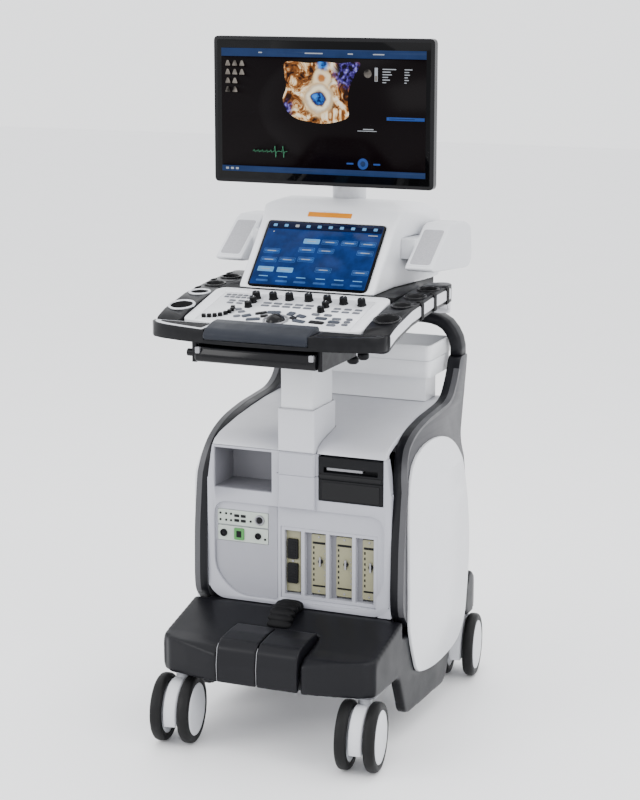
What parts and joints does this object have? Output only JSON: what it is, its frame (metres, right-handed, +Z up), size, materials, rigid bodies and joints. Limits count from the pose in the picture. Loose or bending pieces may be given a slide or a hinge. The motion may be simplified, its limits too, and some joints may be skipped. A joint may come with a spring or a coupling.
{
  "type": "cart-mounted ultrasound machine",
  "caption": "Mobile cart ultrasound scanner with tilting monitor, height-adjustable console with touch screen, probe ports, foot pedals and swivel casters.",
  "frame": {"origin": "on the floor under the middle of the machine's outline", "axes": "+X to the operator's right, +Y to the rear, +Z up"},
  "size_m": [0.5494, 0.8051, 1.5195],
  "materials": {
    "cover_white": "satin moulded white",
    "cover_light": "satin moulded light grey",
    "cover_grey": "satin grey",
    "bumper_dark": "textured charcoal",
    "console_black": "semi-gloss black",
    "palm_slate": "soft-touch slate",
    "rubber_black": "matt black rubber",
    "tyre_black": "non-marking polyurethane tread",
    "steel_grey": "powder-coated steel",
    "port_ivory": "ivory connector body",
    "screen_glass": "display glass",
    "touch_glass": "touch display glass"
  },
  "bodies": {
    "cart": {"base_frame": "steel_grey", "base_cover": "bumper_dark", "front_fascia": "cover_grey", "electronics_chassis": "steel_grey", "top_cover": "cover_light", "side_frame_left": "bumper_dark", "side_frame_right": "bumper_dark", "side_panel_left": "cover_white", "side_panel_right": "cover_white", "rear_cover": "cover_grey", "rear_handle": "bumper_dark", "rear_tray": "cover_white", "probe_port_block": "port_ivory", "physio_panel": "cover_light", "printer": "console_black", "lift_post": "steel_grey", "column_cover_mid": "cover_white", "pedal_boot": "rubber_black"},
    "caster_front_left": {"caster_fork_front_left": "cover_grey"},
    "wheel_front_left_a": {"caster_wheel_front_left_a": "tyre_black"},
    "wheel_front_left_b": {"caster_wheel_front_left_b": "tyre_black"},
    "caster_front_right": {"caster_fork_front_right": "cover_grey"},
    "wheel_front_right_a": {"caster_wheel_front_right_a": "tyre_black"},
    "wheel_front_right_b": {"caster_wheel_front_right_b": "tyre_black"},
    "caster_rear_left": {"caster_fork_rear_left": "cover_grey"},
    "wheel_rear_left_a": {"caster_wheel_rear_left_a": "tyre_black"},
    "wheel_rear_left_b": {"caster_wheel_rear_left_b": "tyre_black"},
    "caster_rear_right": {"caster_fork_rear_right": "cover_grey"},
    "wheel_rear_right_a": {"caster_wheel_rear_right_a": "tyre_black"},
    "wheel_rear_right_b": {"caster_wheel_rear_right_b": "tyre_black"},
    "brake_pedal": {"brake_pedal": "bumper_dark"},
    "steer_lock_pedal": {"steer_lock_pedal": "bumper_dark"},
    "lift": {"column_cover_upper": "cover_white"},
    "console": {"console_pan": "console_black", "console_deck": "cover_white", "console_hood": "cover_white", "palm_rest": "palm_slate", "holder_left": "console_black", "holder_right": "console_black", "touch_screen": "touch_glass", "speaker_left": "cover_light", "speaker_right": "cover_light", "gel_cup": "cover_light", "key_mat": "cover_grey"},
    "keyboard_drawer": {"keyboard_drawer": "console_black"},
    "touch_knob_1": {"touch_knob_1": "console_black"},
    "touch_knob_2": {"touch_knob_2": "console_black"},
    "touch_knob_3": {"touch_knob_3": "console_black"},
    "touch_knob_4": {"touch_knob_4": "console_black"},
    "touch_knob_5": {"touch_knob_5": "console_black"},
    "touch_knob_6": {"touch_knob_6": "console_black"},
    "touch_knob_7": {"touch_knob_7": "console_black"},
    "mode_knob_1": {"mode_knob_1": "console_black"},
    "mode_knob_2": {"mode_knob_2": "console_black"},
    "mode_knob_3": {"mode_knob_3": "console_black"},
    "mode_knob_4": {"mode_knob_4": "console_black"},
    "trackball": {"trackball": "console_black"},
    "monitor_arm": {"monitor_neck": "cover_white"},
    "monitor": {"monitor_housing": "console_black", "monitor_screen": "screen_glass"}
  },
  "joints": [
    {"name": "brake_pedal_press", "type": "hinge", "parent": "cart", "child": "brake_pedal", "pos_m": [-0.053, -0.25, 0.245], "axis": [1, 0, 0], "range_deg": [0, 7], "stiffness_Nm_per_rad": 20},
    {"name": "steer_lock_pedal_press", "type": "hinge", "parent": "cart", "child": "steer_lock_pedal", "pos_m": [0.042, -0.25, 0.245], "axis": [1, 0, 0], "range_deg": [0, 7], "stiffness_Nm_per_rad": 20},
    {"name": "console_lift", "type": "slide", "parent": "cart", "child": "lift", "axis": [0, 0, 1], "range_m": [-0.03, 0.12]},
    {"name": "console_swivel", "type": "hinge", "parent": "lift", "child": "console", "pos_m": [0, -0.095, 0.86], "axis": [0, 0, 1], "range_deg": [-30, 30]},
    {"name": "keyboard_drawer_slide", "type": "slide", "parent": "console", "child": "keyboard_drawer", "axis": [0, -1, 0], "range_m": [0, 0.15]},
    {"name": "monitor_swivel", "type": "hinge", "parent": "console", "child": "monitor_arm", "pos_m": [0, 0.1525, 1.15], "axis": [0, 0, 1], "range_deg": [-60, 60]},
    {"name": "monitor_tilt", "type": "hinge", "parent": "monitor_arm", "child": "monitor", "pos_m": [0, 0.084, 1.318], "axis": [1, 0, 0], "range_deg": [-20, 5]},
    {"name": "caster_swivel_front_left", "type": "hinge", "parent": "cart", "child": "caster_front_left", "pos_m": [-0.216, -0.2885, 0.12], "axis": [0, 0, 1], "continuous": true},
    {"name": "wheel_spin_front_left_a", "type": "hinge", "parent": "caster_front_left", "child": "wheel_front_left_a", "pos_m": [-0.24084, -0.32733, 0.075], "axis": [0.9903, 0.1392, 0], "continuous": true},
    {"name": "wheel_spin_front_left_b", "type": "hinge", "parent": "caster_front_left", "child": "wheel_front_left_b", "pos_m": [-0.18142, -0.31898, 0.075], "axis": [0.9903, 0.1392, 0], "continuous": true},
    {"name": "caster_swivel_front_right", "type": "hinge", "parent": "cart", "child": "caster_front_right", "pos_m": [0.216, -0.2885, 0.12], "axis": [0, 0, 1], "continuous": true},
    {"name": "wheel_spin_front_right_a", "type": "hinge", "parent": "caster_front_right", "child": "wheel_front_right_a", "pos_m": [0.19116, -0.32733, 0.075], "axis": [0.9903, 0.1392, 0], "continuous": true},
    {"name": "wheel_spin_front_right_b", "type": "hinge", "parent": "caster_front_right", "child": "wheel_front_right_b", "pos_m": [0.25058, -0.31898, 0.075], "axis": [0.9903, 0.1392, 0], "continuous": true},
    {"name": "caster_swivel_rear_left", "type": "hinge", "parent": "cart", "child": "caster_rear_left", "pos_m": [-0.216, 0.3579, 0.12], "axis": [0, 0, 1], "continuous": true},
    {"name": "wheel_spin_rear_left_a", "type": "hinge", "parent": "caster_rear_left", "child": "wheel_rear_left_a", "pos_m": [-0.25058, 0.32742, 0.075], "axis": [0.9903, -0.1392, 0], "continuous": true},
    {"name": "wheel_spin_rear_left_b", "type": "hinge", "parent": "caster_rear_left", "child": "wheel_rear_left_b", "pos_m": [-0.19116, 0.31907, 0.075], "axis": [0.9903, -0.1392, 0], "continuous": true},
    {"name": "caster_swivel_rear_right", "type": "hinge", "parent": "cart", "child": "caster_rear_right", "pos_m": [0.216, 0.3579, 0.12], "axis": [0, 0, 1], "continuous": true},
    {"name": "wheel_spin_rear_right_a", "type": "hinge", "parent": "caster_rear_right", "child": "wheel_rear_right_a", "pos_m": [0.19116, 0.31907, 0.075], "axis": [0.9903, 0.1392, 0], "continuous": true},
    {"name": "wheel_spin_rear_right_b", "type": "hinge", "parent": "caster_rear_right", "child": "wheel_rear_right_b", "pos_m": [0.25058, 0.32742, 0.075], "axis": [0.9903, 0.1392, 0], "continuous": true},
    {"name": "touch_knob_1_turn", "type": "hinge", "parent": "console", "child": "touch_knob_1", "pos_m": [-0.092, -0.156, 0.96834], "axis": [0, -0.2216, 0.9751], "continuous": true},
    {"name": "touch_knob_2_turn", "type": "hinge", "parent": "console", "child": "touch_knob_2", "pos_m": [-0.053, -0.154, 0.9688], "axis": [0, -0.2216, 0.9751], "continuous": true},
    {"name": "touch_knob_3_turn", "type": "hinge", "parent": "console", "child": "touch_knob_3", "pos_m": [-0.016, -0.152, 0.96925], "axis": [0, -0.2216, 0.9751], "continuous": true},
    {"name": "touch_knob_4_turn", "type": "hinge", "parent": "console", "child": "touch_knob_4", "pos_m": [0.028, -0.15, 0.9697], "axis": [0, -0.2216, 0.9751], "continuous": true},
    {"name": "touch_knob_5_turn", "type": "hinge", "parent": "console", "child": "touch_knob_5", "pos_m": [0.072, -0.152, 0.96925], "axis": [0, -0.2216, 0.9751], "continuous": true},
    {"name": "touch_knob_6_turn", "type": "hinge", "parent": "console", "child": "touch_knob_6", "pos_m": [0.11, -0.154, 0.9688], "axis": [0, -0.2216, 0.9751], "continuous": true},
    {"name": "touch_knob_7_turn", "type": "hinge", "parent": "console", "child": "touch_knob_7", "pos_m": [0.152, -0.156, 0.96834], "axis": [0, -0.2216, 0.9751], "continuous": true},
    {"name": "mode_knob_1_turn", "type": "hinge", "parent": "console", "child": "mode_knob_1", "pos_m": [-0.09, -0.204, 0.95743], "axis": [0, -0.2216, 0.9751], "continuous": true},
    {"name": "mode_knob_2_turn", "type": "hinge", "parent": "console", "child": "mode_knob_2", "pos_m": [-0.09, -0.178, 0.96334], "axis": [0, -0.2216, 0.9751], "continuous": true},
    {"name": "mode_knob_3_turn", "type": "hinge", "parent": "console", "child": "mode_knob_3", "pos_m": [0.078, -0.204, 0.95743], "axis": [0, -0.2216, 0.9751], "continuous": true},
    {"name": "mode_knob_4_turn", "type": "hinge", "parent": "console", "child": "mode_knob_4", "pos_m": [0.078, -0.178, 0.96334], "axis": [0, -0.2216, 0.9751], "continuous": true},
    {"name": "trackball_roll", "type": "hinge", "parent": "console", "child": "trackball", "pos_m": [0, -0.262, 0.93625], "axis": [1, 0, 0], "continuous": true}
  ]
}
